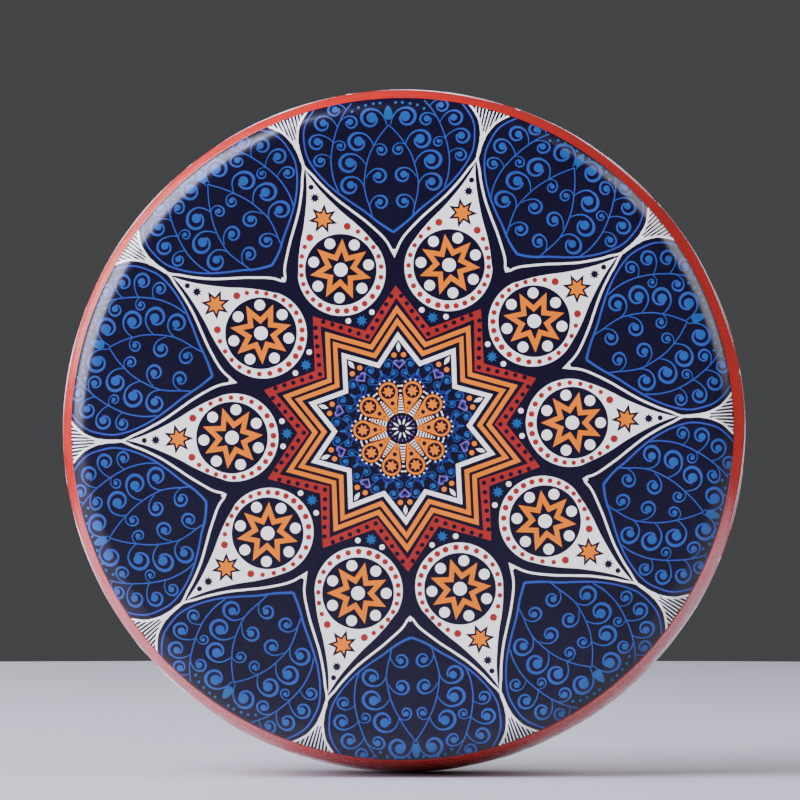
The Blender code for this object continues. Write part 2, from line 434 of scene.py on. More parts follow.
# ---------------------------------------------------------------- hoops


def unit_turn(joint):
    """A unit's angle round the drum, from the top towards +X."""
    return math.atan2(joint["pos_m"][0], joint["pos_m"][2])


def side_radius(y):
    """The barrel-shaped side wall, widest at the ridge."""
    along = min(1.0, max(0.0, (RIDGE - y) / (RIDGE - SHOULDER_Y)))
    return OUTER_RADIUS - (OUTER_RADIUS - FRONT_RADIUS) * along**2


def cut_eye_holes(hoop):
    """Cuts the blind holes that the eyes' legs go into."""
    bm = bmesh.new()
    for joint in frame["joints"]:
        middle = INNER_RADIUS + HOLE_DEPTH / 2 - HOLE_RADIUS / 2
        place = Matrix.Rotation(unit_turn(joint), 4, "Y") @ Matrix.Translation((0, UNIT_Y, middle))
        bmesh.ops.create_cone(
            bm, cap_ends=True, segments=20, radius1=HOLE_RADIUS, radius2=HOLE_RADIUS,
            depth=HOLE_DEPTH + HOLE_RADIUS, matrix=place,
        )
    data = bpy.data.meshes.new("eye_holes")
    bm.to_mesh(data)
    bm.free()
    cutter = bpy.data.objects.new("eye_holes", data)
    bpy.context.scene.collection.objects.link(cutter)
    cut = hoop.modifiers.new("eye_holes", "BOOLEAN")
    cut.operation = "DIFFERENCE"
    cut.object = cutter
    bake_modifiers(hoop)
    bpy.data.objects.remove(cutter)


def make_shell():
    """The side wall, from the rounding under the skin to the ridge."""
    outline = [(INNER_RADIUS, HOOP_FRONT + 0.001), (INNER_RADIUS + 0.001, HOOP_FRONT)]
    for step in range(13):
        turn = step / 12 * math.pi / 2
        outline.append((SHOULDER_CENTRE + SHOULDER_RADIUS * math.sin(turn),
                        SHOULDER_Y - SHOULDER_RADIUS * math.cos(turn)))
    edge = 0.0004
    for step in range(1, 17):
        y = SHOULDER_Y + (RIDGE - edge - SHOULDER_Y) * step / 16
        outline.append((side_radius(y), y))
    outline.append((OUTER_RADIUS - edge * 0.3, RIDGE - edge * 0.3))
    outline.append((OUTER_RADIUS - edge, RIDGE))
    outline.append((INNER_RADIUS, RIDGE))
    clear = HOLE_RADIUS + 0.0009
    outline.append((INNER_RADIUS, UNIT_Y + clear))
    outline.append((INNER_RADIUS, UNIT_Y - clear))
    for y in (UNIT_Y - 0.006, UNIT_Y - 0.016, UNIT_Y - 0.028):
        outline.append((INNER_RADIUS, y))
    hoop = lathe("shell_surface", outline, LACQUER)
    cut_eye_holes(hoop)
    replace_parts(hoop, "shell_hoop")


def bevel(along, lift=0.0):
    """The back bevel's radius and place along Y, along from the ridge (0) to the band (1)."""
    lip = BAND_OUTER_RADIUS + BAND_LIP
    swell = BEVEL_BULGE * 4 * along * (1 - along) + lift
    radius = OUTER_RADIUS - 0.0001 + (lip - OUTER_RADIUS) * along + 0.8 * swell
    return radius, RIDGE + 0.0001 + (BACK - RIDGE - 0.0002) * along + 0.6 * swell


def make_back_hoop():
    """The bevelled ring at the open back, a little rounded, with the band's rebate."""
    outline = [(INNER_RADIUS, RIDGE), (OUTER_RADIUS - 0.0004, RIDGE)]
    outline += [bevel(step / 14) for step in range(15)]
    outline += [(BAND_OUTER_RADIUS + BAND_LIP - 0.0003, BACK), (BAND_OUTER_RADIUS + 0.0001, BACK - 0.0001)]
    outline += [(BAND_OUTER_RADIUS + 0.0001, BAND_SEAT - 0.0002), (INNER_RADIUS, BAND_SEAT - 0.0002)]
    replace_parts(lathe("back_surface", outline, LACQUER), "back_hoop")


def polar(radius, angle, y):
    """A point on the drum, its angle from the top towards +X."""
    return radius * math.sin(angle), y, radius * math.cos(angle)


class Relief:
    """Thin shapes gathered into one closed mesh, each a plate of its own."""

    def __init__(self):
        self.points = []
        self.faces = []

    def plate(self, top, bottom, rows):
        """A plate between two grids of points, given as rows of equal length."""
        width = len(top) // rows
        start = len(self.points)
        self.points += top + bottom
        under = start + len(top)
        for i in range(rows - 1):
            for j in range(width - 1):
                a, b = i * width + j, (i + 1) * width + j
                self.faces.append((start + a, start + b, start + b + 1, start + a + 1))
                self.faces.append((under + a, under + a + 1, under + b + 1, under + b))
        rim = [j for j in range(width)] + [i * width + width - 1 for i in range(1, rows)]
        rim += [(rows - 1) * width + j for j in range(width - 2, -1, -1)]
        rim += [i * width for i in range(rows - 2, 0, -1)]
        for first, second in zip(rim, rim[1:] + rim[:1]):
            self.faces.append((start + first, start + second, under + second, under + first))

    def make(self, name, surface, slot):
        return outward(piece(name, self.points, self.faces, surface))


def make_band():
    """The zigzag inlay: a black ring with white teeth let into it from both edges."""
    top = BACK - 0.00004
    outline = rounded([
        (INNER_RADIUS, BAND_SEAT, 0.0), (BAND_OUTER_RADIUS, BAND_SEAT, 0.0),
        (BAND_OUTER_RADIUS, top, 0.0001), (INNER_RADIUS, top, 0.0006),
    ])
    base = lathe("band_base", outline, BLACK_INLAY)
    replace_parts(base, "zigzag_band")
    teeth = Relief()
    pitch = 2 * math.pi / ZIGZAG_TEETH
    inner, outer = INNER_RADIUS + 0.0007, BAND_OUTER_RADIUS - 0.0002
    for k in range(2 * ZIGZAG_TEETH):
        from_edge, to_edge = (inner, outer) if k % 2 else (outer, inner)
        middle = pitch * (k / 2 + random.uniform(-0.035, 0.035))
        half = pitch * random.uniform(0.335, 0.375)
        reach = random.uniform(0.58, 0.65)
        lean = pitch * random.uniform(0.02, 0.12) * (1 if k % 2 else -1)
        rows = 7
        face = []
        for row in range(rows):
            t = row / (rows - 1)
            radius = from_edge + (to_edge - from_edge) * reach * t
            across = half * (1 - t) + pitch * 0.008
            for step in range(9):
                angle = middle + lean * t + across * (step / 4 - 1)
                face.append((radius, angle))
        high = [polar(radius, angle, BACK - 0.00001) for radius, angle in face]
        low = [polar(radius, angle, BACK - 0.0003) for radius, angle in face]
        teeth.plate(high, low, rows)
    teeth.make("band_teeth", WHITE_INLAY, "zigzag_inlay")


def make_painted_ridge_highlight():
    """A pale, broken line along the ridge: a painted highlight on the edge of the lacquer."""
    line = Relief()
    angle = 0.0
    while angle < 2 * math.pi - 0.02:
        length = random.uniform(0.06, 0.5)
        end = min(angle + length, 2 * math.pi - 0.01)
        steps = max(4, int((end - angle) / 0.012))
        wide = random.uniform(0.10, 0.22) * MM
        high, low = [], []
        for step in range(steps + 1):
            t = step / steps
            a = angle + (end - angle) * t
            wobble = 0.06 * MM * math.sin(a * 57) + 0.04 * MM * math.sin(a * 131 + 1)
            taper = min(1.0, 8 * t, 8 * (1 - t)) * (0.7 + 0.3 * math.sin(a * 83))
            for side in (-1, 0, 1):
                y = RIDGE - 0.00012 + wobble + side * wide * taper
                reach = OUTER_RADIUS - 0.00006 - 0.74 * max(0.0, y - RIDGE)
                if y < RIDGE - 0.0004:
                    reach = side_radius(y) + 0.00003
                high.append(polar(reach + 0.00003, a, y))
                low.append(polar(reach - 0.0005, a, y))
        line.plate(high, low, steps + 1)
        angle = end + random.uniform(0.004, 0.05)
    line.make("painted_ridge_highlight", PAINTED_RIDGE_HIGHLIGHT, "red_lacquer")


def bevel_point(along, angle, lift):
    """A point on the back bevel at an angle round the drum."""
    radius, y = bevel(along, lift)
    return polar(radius, angle, y)


# Each chip: its middle and length round the drum, in radians, and its width as a share of the bevel.
CHIPS = ((1.02, 0.11, 0.09), (1.13, 0.05, 0.12), (4.35, 0.06, 0.07), (2.75, 0.035, 0.08))


def make_chips():
    """Small places by the band where the lacquer has chipped off the wood."""
    chips = Relief()
    for middle, length, wide in CHIPS:
        steps = 14
        high, low = [], []
        for step in range(steps + 1):
            t = step / steps
            angle = middle + length * (t - 0.5)
            half = wide * math.sin(math.pi * t) ** 0.6 / 2 * random.uniform(0.45, 1.0) + 0.004
            centre = 0.86 + 0.05 * math.sin(7 * t + middle) + random.uniform(-0.02, 0.02)
            for side in (-1, 0, 1):
                along = min(0.985, centre + side * half)
                high.append(bevel_point(along, angle, 0.00003))
                low.append(bevel_point(along, angle, -0.0004))
        chips.plate(high, low, steps + 1)
    chips.make("wood_chips", BARE_WOOD, "red_lacquer")


# ---------------------------------------------------------------- painted scrolls

# Each stroke: centre line and width in millimetres, as (along the wall, below the ridge, width).
WAVE = [(-2.2, 18.6, 0.4), (-3.0, 14.6, 1.6), (-2.6, 10.4, 3.3), (-0.2, 7.0, 4.6), (4.2, 5.6, 5.2),
        (9.4, 6.4, 5.5), (14.6, 9.0, 5.5), (19.6, 12.4, 5.0), (25.0, 15.8, 4.3), (31.5, 18.6, 3.6),
        (39.0, 20.4, 3.0), (47.0, 20.6, 2.3), (54.0, 19.0, 1.5), (59.5, 16.2, 0.5)]
LEAF = [(33.0, 12.2, 0.4), (37.0, 13.6, 1.8), (42.0, 13.8, 2.7), (47.5, 12.2, 2.4), (52.5, 9.2, 1.4),
        (56.0, 6.0, 0.4)]


def on_wall(across, below, lift):
    """A point of the side wall, across in radians and below the ridge in metres."""
    y = RIDGE - below
    radius = side_radius(y) + lift
    return polar(radius, across, y)


def brush(paint, stroke, start_angle, bristles):
    """One stroke as many fine bristle marks that break up towards its end."""
    run = smooth_run(stroke, 7)
    sideways = normals(run)
    count = len(run)
    for bristle in range(bristles):
        place = (bristle + 0.5) / bristles * 2 - 1
        first = int(count * random.uniform(0.0, 0.05))
        last = int(count * (1.0 - random.uniform(0.0, 0.16) - 0.10 * random.random() * abs(place)))
        lifts = random.uniform(0.03, 0.08) * MM
        breaks = random.random() < 0.3 and bristle not in (0, bristles - 1)
        gap = count * random.uniform(0.3, 0.8)
        spans = [(first, int(gap)), (int(gap) + random.randint(2, 5), last)] if breaks else [(first, last)]
        phase = random.uniform(0, 6)
        for begin, end in spans:
            if end - begin < 3:
                continue
            high, low = [], []
            for i in range(begin, end):
                s, below, width = run[i]
                thin = min(1.0, (i - begin + 0.4) / 2.0, (end - 0.6 - i) / 3.0)
                half = width / bristles * 0.62 * thin
                drift = place * width / 2 + 0.05 * math.sin(i * 0.9 + phase)
                for side in (-1, 1):
                    x, z = np.array([s, below]) + sideways[i] * (drift + side * half)
                    angle = start_angle + x * MM / OUTER_RADIUS
                    high.append(on_wall(angle, z * MM, lifts))
                    low.append(on_wall(angle, z * MM, -0.0003))
            paint.plate(high, low, end - begin)


def make_scrolls():
    """White waves brushed round the side wall, one running into the next."""
    paint = Relief()
    for k in range(SCROLLS):
        start = math.radians(22 + 360 / SCROLLS * k + random.uniform(-2, 2))
        size = random.uniform(0.93, 1.05)
        for stroke, bristles in ((WAVE, 15), (LEAF, 8)):
            drawn = []
            for x, below, width in stroke:
                drawn.append((x * size, below * size + random.uniform(-0.25, 0.25), width * size))
            brush(paint, drawn, start, bristles)
    paint.make("painted_scrolls", PAINT, "red_lacquer")


# ---------------------------------------------------------------- washers, eyes and rings


def unit_place(joint):
    """A unit's place on the wall: local +Z out from the axis, +Y along the drum."""
    return Matrix.Rotation(unit_turn(joint), 4, "Y") @ Matrix.Translation((0, UNIT_Y, INNER_RADIUS))


def make_cup(number, joint):
    """A dished washer pressed from sheet, with a rolled rim."""
    seat = CUP_CLEARANCE
    corners = [
        (CUP_HOLE_RADIUS, seat, 0.00015),
        (CUP_SEAT_RADIUS, seat, 0.0018),
        (CUP_RADIUS, CUP_HEIGHT - CUP_THICKNESS * 0.75, 0.00035),
        (CUP_RADIUS - CUP_THICKNESS * 0.55, CUP_HEIGHT, 0.0003),
        (CUP_SEAT_RADIUS - CUP_THICKNESS / 4, seat + CUP_THICKNESS, 0.0012),
        (CUP_HOLE_RADIUS, seat + CUP_THICKNESS, 0.0002),
    ]
    outline = rounded(corners, 5)
    swirl = random.uniform(0, 2 * math.pi)
    segments = 64
    points = []
    place = unit_place(joint)
    for k in range(segments):
        angle = 2 * math.pi * k / segments + swirl
        dent = 1 + 0.006 * math.sin(2 * angle + swirl) + 0.003 * math.sin(5 * angle)
        for radius, height in outline:
            bent = min(radius * dent, CUP_RADIUS)
            point = Vector((bent * math.cos(angle), bent * math.sin(angle), -height))
            points.append(place @ point)
    faces = turned_faces(len(outline), segments)
    cup = outward(piece(f"cup_{number}", points, faces, ALUMINIUM))
    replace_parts(cup, f"cup_washer_{number}")


def make_eye(number, joint):
    """A bent wire eye: two legs in the wall and a round loop."""
    neck = math.radians(25)
    half = [
        (EYE_LEG_OFFSET, -EYE_LEG_DEPTH), (EYE_LEG_OFFSET, -EYE_LEG_DEPTH / 2), (EYE_LEG_OFFSET, 0.0),
        (EYE_LEG_OFFSET, EYE_CENTRE * 0.18), (EYE_LEG_OFFSET * 1.25, EYE_CENTRE * 0.32),
        (EYE_LEG_OFFSET * 1.9, EYE_CENTRE * 0.42),
    ]
    outline = [(-across, height) for across, height in half]
    for step in range(1, 48):
        angle = neck + (2 * math.pi - 2 * neck) * step / 48
        across = -EYE_LOOP_RADIUS * math.sin(angle)
        outline.append((across, EYE_CENTRE - EYE_LOOP_RADIUS * math.cos(angle)))
    outline += reversed(half)
    place = unit_place(joint)
    centres = [place @ Vector((0, across, -height)) for across, height in outline]
    sideways = place.to_3x3() @ Vector((1, 0, 0))
    radii = [EYE_WIRE_RADIUS] * len(centres)
    eye = tube(f"eye_{number}", centres, radii, STEEL, sides=14, side_axis=sideways)
    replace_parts(eye, f"wire_eye_{number}")


def make_ring(number, joint, slit):
    """A ring bent from thick wire, its ends meeting at a slit."""
    turn = unit_turn(joint)
    rest = math.radians(90 - joint["range_deg"][1])
    pivot = Matrix.Translation(Vector(joint["pos_m"])) @ Matrix.Rotation(turn + rest, 4, "Y")
    half_slit = math.asin(RING_SLIT / 2 / RING_RADIUS)
    chamfer = RING_WIRE_RADIUS * 0.16
    steps = 96
    angles, radii = [half_slit], [RING_WIRE_RADIUS - chamfer]
    for step in range(steps + 1):
        lead = half_slit + chamfer / RING_RADIUS
        angles.append(lead + (2 * math.pi - 2 * lead) * step / steps)
        radii.append(RING_WIRE_RADIUS)
    angles.append(2 * math.pi - half_slit)
    radii.append(RING_WIRE_RADIUS - chamfer)
    centres = []
    for angle in angles:
        around = slit + angle
        centres.append(pivot @ Vector((
            RING_RADIUS * math.sin(around), 0.0, RING_RADIUS * math.cos(around) - RING_DROP,
        )))
    name = f"ring_wire_{number}"
    ring = tube(name, centres, radii, RING_METAL, sides=20, body=joint["child"],
                side_axis=(0, 1, 0))
    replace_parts(ring, f"jingle_ring_{number}")


def make_units():
    slits = [math.radians(angle) for angle in (75, 200, 290)]
    for unit, joint in enumerate(frame["joints"]):
        number = f"{unit + 1:02d}"
        make_cup(number, joint)
        make_eye(number, joint)
        make_ring(number, joint, slits[unit % len(slits)])


# ---------------------------------------------------------------- the skin and its print


def skin_turn(radius):
    """How far the skin's face has turned towards the side, at a radius seen from the front."""
    past = max(0.0, radius - SHOULDER_CENTRE) / SKIN_TURN_RADIUS
    return math.asin(min(math.sin(SHOULDER_WRAP), past))


def make_skin():
    """The stretched skin: a taut disc whose edge turns round the hoop's shoulder."""
    face = [(0.0004 + (SHOULDER_CENTRE - 0.0004) * step / 20, FRONT) for step in range(20)]
    back = [(radius, FRONT + SKIN_THICKNESS) for radius, _ in face]
    for step in range(15):
        turn = SHOULDER_WRAP * step / 14
        for run, radius in ((face, SKIN_TURN_RADIUS), (back, SKIN_TURN_RADIUS - SKIN_THICKNESS)):
            run.append((SHOULDER_CENTRE + radius * math.sin(turn), SHOULDER_Y - radius * math.cos(turn)))
    outline = face + back[::-1]
    segments = HOOP_SEGMENTS
    points, faces = [], []
    for k in range(segments):
        angle = 2 * math.pi * k / segments
        points += [polar(radius, angle, y) for radius, y in outline]
    count = len(outline)
    for k in range(segments):
        here, after = k * count, (k + 1) % segments * count
        for i in range(count - 1):
            faces.append((here + i, here + i + 1, after + i + 1, after + i))
    faces.append(tuple(k * count for k in range(segments)))
    faces.append(tuple(k * count + count - 1 for k in range(segments)))
    skin = outward(piece("skin_sheet", points, faces, INK["navy"]))
    skin.data.materials.append(HIDE)
    for polygon in skin.data.polygons:
        if polygon.normal.y > 0.3:
            polygon.material_index = 1
    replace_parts(skin, "drum_skin")
    return skin


# The print, in millimetres.
STAGGER = 0.0009  # the step in height between overlapping shapes of one ink
SHOULDER_LIFT = 0.016  # more height where the skin is rounded
PLATE = 0.14  # how thick each film of ink is, most of it sunk into the skin
LEVELS = (0.0, 0.020, 0.034, 0.048, 0.062, 0.076)  # how far each layer of ink stands above the skin
PRINT_EDGE = 118.6  # the radius where the print ends


def oval(x, y, half_wide, half_high, sides):
    """A closed outline round a middle."""
    outline = []
    for k in range(sides):
        a = 2 * math.pi * k / sides
        outline.append((x + half_wide * math.cos(a), y + half_high * math.sin(a)))
    return outline


class Print:
    """All the shapes of one ink. x is across and y outwards, in millimetres, along an axis of the print."""

    def __init__(self):
        self.points = []
        self.faces = []
        self.shapes = 0

    def put(self, run, axis, level):
        """Points on the skin's face. Overlapping shapes of one ink lie at slightly different heights."""
        lift = LEVELS[level] + STAGGER * (self.shapes % 12)
        start = len(self.points)
        cos, sin = math.cos(math.radians(axis)), math.sin(math.radians(axis))
        for x, y in run:
            across, up = y * cos + x * sin, y * sin - x * cos
            radius = math.hypot(across, up)
            held = min(radius, PRINT_EDGE)
            turn = skin_turn(held * MM)
            raised = (lift + SHOULDER_LIFT * min(1.0, 4 * turn)) * MM
            seen = held * MM + raised * math.sin(turn)
            depth = FRONT
            if turn > 0:
                depth = SHOULDER_Y - SKIN_TURN_RADIUS * math.cos(turn)
            share = seen / max(radius, 1e-6)
            self.points.append((across * share, depth - raised * math.cos(turn), up * share))
        return start

    def patch(self, outline, axis, level):
        """A filled outline. On the skin's rounded edge it gets rings inside, to bend with it."""
        self.shapes += 1
        start = self.put(outline, axis, level)
        count = len(outline)
        if max(math.hypot(x, y) for x, y in outline) < SHOULDER_CENTRE / MM:
            self.faces.append(tuple(range(start, start + count)))
            return
        middle = np.mean(np.array(outline), axis=0)
        for share in (0.7, 0.4):
            shrunk = [middle + (np.array(point) - middle) * share for point in outline]
            inside = self.put(shrunk, axis, level)
            for i in range(count):
                j = (i + 1) % count
                self.faces.append((start + i, start + j, inside + j, inside + i))
            start = inside
        self.faces.append(tuple(range(start, start + count)))

    def dot(self, x, y, radius, axis, level, sides=0):
        sides = sides or (12 if radius < 0.7 else 20 if radius < 2 else 40)
        self.patch(oval(x, y, radius, radius, sides), axis, level)

    def star(self, x, y, tips, outer, inner, axis, level, first=-90.0):
        ring = []
        for k in range(2 * tips):
            a = math.radians(first) + math.pi * k / tips
            r = inner if k % 2 else outer
            ring.append((x + r * math.cos(a), y + r * math.sin(a)))
        self.patch(ring, axis, level)

    def between(self, left, right, axis, level):
        """A strip between two runs of the same number of points, cut off at the print's edge."""
        left, right = np.array(left, float), np.array(right, float)
        inside = np.minimum(np.hypot(*left.T), np.hypot(*right.T)) < PRINT_EDGE
        left, right = left[inside], right[inside]
        if len(left) < 2:
            return
        self.shapes += 1
        flat = max(np.hypot(*left.T).max(), np.hypot(*right.T).max()) < SHOULDER_CENTRE / MM
        columns = 2 if flat else 5
        rows = [self.put(left + (right - left) * c / (columns - 1), axis, level) for c in range(columns)]
        for here, after in zip(rows, rows[1:]):
            for i in range(len(left) - 1):
                self.faces.append((here + i, here + i + 1, after + i + 1, after + i))

    def ribbon(self, run, widths, axis, level, share=1.0):
        """A line of varying width."""
        run = np.array(run, float)
        aside = normals(run) * (np.array(widths) * share / 2)[:, None]
        self.between(run + aside, run - aside, axis, level)

    def make(self, name, surface, skin):
        """One mesh, its shapes thickened into the skin."""
        made = piece(name, self.points, self.faces, surface, sharp=20.0)
        bm = bmesh.new()
        bm.from_mesh(made.data)
        for face in bm.faces:
            if face.normal.y > 0:
                face.normal_flip()
        bm.to_mesh(made.data)
        bm.free()
        film = made.modifiers.new("film", "SOLIDIFY")
        film.thickness = PLATE * MM
        film.offset = -1.0
        bake_modifiers(made)
        return made


PETALS = [92.5 + 36 * k for k in range(10)]  # the petals' axes, odd ones slightly higher
MEDALLIONS = [74.5 + 36 * k for k in range(10)]

WHITE_OUTLINE = [(1, 64.2), (2.5, 67.1), (5, 70.2), (10, 75), (15, 79.1), (20, 83.3), (25, 88.4), (28, 92),
                 (30.4, 94.6), (31.9, 97.4), (32.8, 101), (33, 105), (32.5, 109.2), (31.3, 112),
                 (29.6, 114.8), (27, 117.6)]
BLUE_OUTLINE = [(0, 70.4), (5, 74), (10, 78.3), (15, 82), (20, 86), (24, 90), (27.5, 94.5),
                (29.8, 99), (30.6, 104), (30.5, 108), (29, 112), (26, 116.5), (24, 118.6)]
INNER_VINE = [(-7.3, 76.3), (-8, 79.5), (-9, 83), (-9.7, 87), (-9.4, 91), (-8.5, 95.2), (-7.3, 98.7),
              (-5.6, 101.8), (-3.5, 105), (0, 109)]
OUTER_VINE = [(-19, 85.8), (-20.5, 90), (-21.2, 95), (-21, 99), (-20, 104), (-18.3, 109), (-16, 113.5),
              (-12.5, 118.2)]
# Curls on the vines: centre, radius, dot and where the curl leaves its vine.
CURLS = [
    (-4.4, 81.5, 2.8, 1.1, -8, 80), (-4.6, 91, 3.0, 1.25, -9, 90), (-3.1, 100.3, 2.2, 0.9, -5.8, 101.5),
    (-14.5, 88, 3.6, 1.4, -9.8, 87), (-14.5, 96, 3.9, 1.7, -8.9, 95.0), (-11, 103.5, 3.8, 1.7, -5.8, 101.8),
    (-6, 111.8, 3.9, 1.85, -0.8, 109), (-17.6, 102.3, 1.9, 0.75, -20.2, 103),
    (-13.8, 110.6, 2.6, 1.15, -18, 110), (-25, 97.3, 2.5, 1.05, -21.3, 98),
    (-25.8, 104, 3.1, 1.35, -20.2, 103.5),
    (-23.4, 110.6, 3.2, 1.25, -18.5, 109), (-19, 115.4, 2.7, 1.15, -15, 115),
]
# How a curl winds: degrees round its dot, then how far out and how wide, as shares of its radius.
CURL_WINDING = [(53, 0.93, 0.12), (99, 0.79, 0.16), (145, 0.84, 0.23), (190, 0.93, 0.27), (235, 0.90, 0.25),
                (280, 0.82, 0.20), (330, 0.65, 0.17), (385, 0.44, 0.18)]


def petal_warp(run, odd):
    """The odd petals' insides sit a little higher and closer together."""
    if not odd:
        return [tuple(point) for point in run]
    warped = []
    for x, y in run:
        rise = 1.7 + 1.3 * min(1.0, max(0.0, (y - 100) / 10))
        warped.append((x * (1 - 0.07 * math.exp(-((x / 10) ** 2))), y + rise * math.exp(-((x / 16) ** 2))))
    return warped


def mirrored(run, side):
    return [(x * side, y) for x, y in run]


def petal_outlines(inks, axis, odd):
    """The white line round a petal, and the blue one inside it."""
    outline = smooth_run(WHITE_OUTLINE, 6)
    if odd:
        outline[:, 1] += 2.6 * np.exp(-outline[:, 0] / 4) + 2.2 * np.exp(-((outline[:, 0] / 24) ** 2))
    blue = smooth_run(BLUE_OUTLINE, 8)
    blue[:, 1] += (4.4 if odd else 0.0) * np.exp(-np.abs(blue[:, 0]) / 13)
    aside = normals(outline) * 0.42
    tip_low, tip_high = (67.0, 69.2) if odd else (61.2, 64.3)
    for side in (-1, 1):
        inner = np.vstack([[0, tip_high], (outline + aside)])
        outer = np.vstack([[0, tip_low], (outline - aside)])
        inks["cream"].between(inner * [side, 1], outer * [side, 1], axis, 1)
        run = blue * [side, 1]
        run[0, 0] = 0
        widths = np.interp(np.arange(len(run)), [0, 10, 40, len(run)], [0.95, 0.8, 0.66, 0.6])
        inks["deep"].ribbon(run, widths, axis, 1)
        light = np.interp(np.arange(len(run)), [0, 14, 40, len(run)], [0.62, 0.5, 0.38, 0.34])
        inks["blue"].ribbon(run, widths * light, axis, 2)


def curl(inks, spec, side, axis, odd):
    """A curl that leaves its vine, arcs over and winds in to its dot."""
    x, y, radius, dot, from_x, from_y = spec
    start = math.atan2(from_y - y, from_x - x)
    away = math.hypot(from_x - x, from_y - y)
    way = -1 if from_x < x else 1
    winding = [(0, away, 0.36), (24, 0.35 * away + 0.63 * radius, 0.1 + 0.1 * radius)]
    winding += [(sweep, share * radius, 0.1 + width * radius) for sweep, share, width in CURL_WINDING]
    run, widths = [], []
    for sweep, distance, width in smooth_run(winding, 5):
        angle = start + way * math.radians(sweep)
        run.append((x + distance * math.cos(angle), y + distance * math.sin(angle)))
        widths.append(width)
    run = mirrored(petal_warp(run, odd), side)
    inks["deep"].ribbon(run, widths, axis, 1)
    inks["blue"].ribbon(run, widths, axis, 2, 0.66)
    centre = mirrored(petal_warp([(x, y)], odd), side)[0]
    inks["deep"].dot(*centre, dot, axis, 1)
    inks["blue"].dot(*centre, dot * 0.86, axis, 2)


def petal(inks, axis, odd):
    """One blue petal with its vines and curls."""
    petal_outlines(inks, axis, odd)
    for side in (-1, 1):
        for vine, foot in ((INNER_VINE, 0.56), (OUTER_VINE, 0.6)):
            run = smooth_run(vine, 6)
            run = mirrored(petal_warp(run, odd), side)
            widths = np.linspace(foot - 0.06, 0.44, len(run))
            inks["deep"].ribbon(run, widths, axis, 1)
            inks["blue"].ribbon(run, widths, axis, 2, 0.5)
        for spec in CURLS:
            curl(inks, spec, side, axis, odd)
        for x, y in ((2.8, 117.0), (5.2, 116.9), (8.0, 116.4), (10.6, 115.7), (12.9, 114.3)):
            spot = mirrored(petal_warp([(x, y - (0.6 if odd else 0.0))], odd), side)[0]
            inks["blue"].dot(spot[0], min(spot[1], 117.6), 0.52, axis, 2)
    bud_y = 115.4 if odd else 113.3
    bud = []
    for k in range(24):
        a = 2 * math.pi * k / 24
        bud.append((1.5 * math.cos(a) * (1 - 0.35 * math.sin(a)), bud_y + 2.6 * math.sin(a)))
    inks["blue"].patch(bud, axis, 2)


def hatching(inks, axis):
    """The neck between two petals and the stripes that fan out above it."""
    neck = [(99.8, 0.1), (101.5, 0.5), (104, 0.56), (106.5, 0.75), (108.3, 1.1), (109.6, 0.9), (110.6, 0.2)]
    inks["cream"].between([(-half, y) for y, half in neck], [(half, y) for y, half in neck], axis, 2)
    foot = np.array([0.0, 92.0])
    for k in range(-4, 5):
        rim = 1.31 * k / PRINT_EDGE
        end = np.array([math.sin(rim), math.cos(rim)]) * PRINT_EDGE
        start_y = (109.0, 110.0, 112.2, 114.3, 116.1)[abs(k)]
        begin = foot + (end - foot) * (start_y - foot[1]) / (end[1] - foot[1])
        count = 6 + int(2.5 * (PRINT_EDGE - start_y))
        run = [begin + (end - begin) * t for t in np.linspace(0, 1, count)]
        inks["cream"].ribbon(run, np.linspace(0.42, 0.50, count), axis, 1)


MEDALLION_LEAN = 0.6  # each medallion leans this far to the side
MEDALLION_TIP = 99.5
MEDALLION_MIDDLE = 60.1
FOOT_RADIUS = 15.75
BEAD_MIDDLE = 60.4
BEAD_RING = 14.35
DISC_MIDDLE = 60.95


def teardrop(lean):
    """A medallion's outline: a round foot drawn out to a tip."""
    half = [(98.4, 0.0), (97, 0.35), (95, 0.9), (91, 2.25), (86, 4.4), (80, 7.4), (75, 10.35), (70, 12.85),
            (65, 14.8)]
    run = smooth_run([(width, y) for y, width in half], 4)
    right = [(max(0.0, width) + lean * (MEDALLION_TIP - y) / 39.4, y) for width, y in run]
    left = [(-max(0.0, width) + lean * (MEDALLION_TIP - y) / 39.4, y) for width, y in run]
    foot = []
    for step in range(1, 36):
        a = math.radians(19) - math.radians(218) * step / 36
        foot.append((lean + FOOT_RADIUS * math.cos(a), MEDALLION_MIDDLE + FOOT_RADIUS * math.sin(a)))
    return right + foot + left[:0:-1]


def red_beads(inks, axis, lean):
    """Red dots round a medallion's border, growing towards its shoulders."""
    inks["red"].dot(lean, BEAD_MIDDLE - BEAD_RING, 1.1, axis, 2)
    for side, count, step in ((1, 12, 13.1), (-1, 10, 15.2)):
        side *= 1 if lean > 0 else -1
        for k in range(1, count + 1):
            turn = step * k
            last = k == count
            out = BEAD_RING + 2.2 * min(1.0, max(0.0, (turn - 108) / 50)) ** 1.4
            radius = 1.3 if last else 1.1 - 0.25 * min(1.0, turn / 80)
            a = math.radians(-90 + side * turn)
            inks["red"].dot(lean + out * math.cos(a), BEAD_MIDDLE + out * math.sin(a), radius, axis, 2)


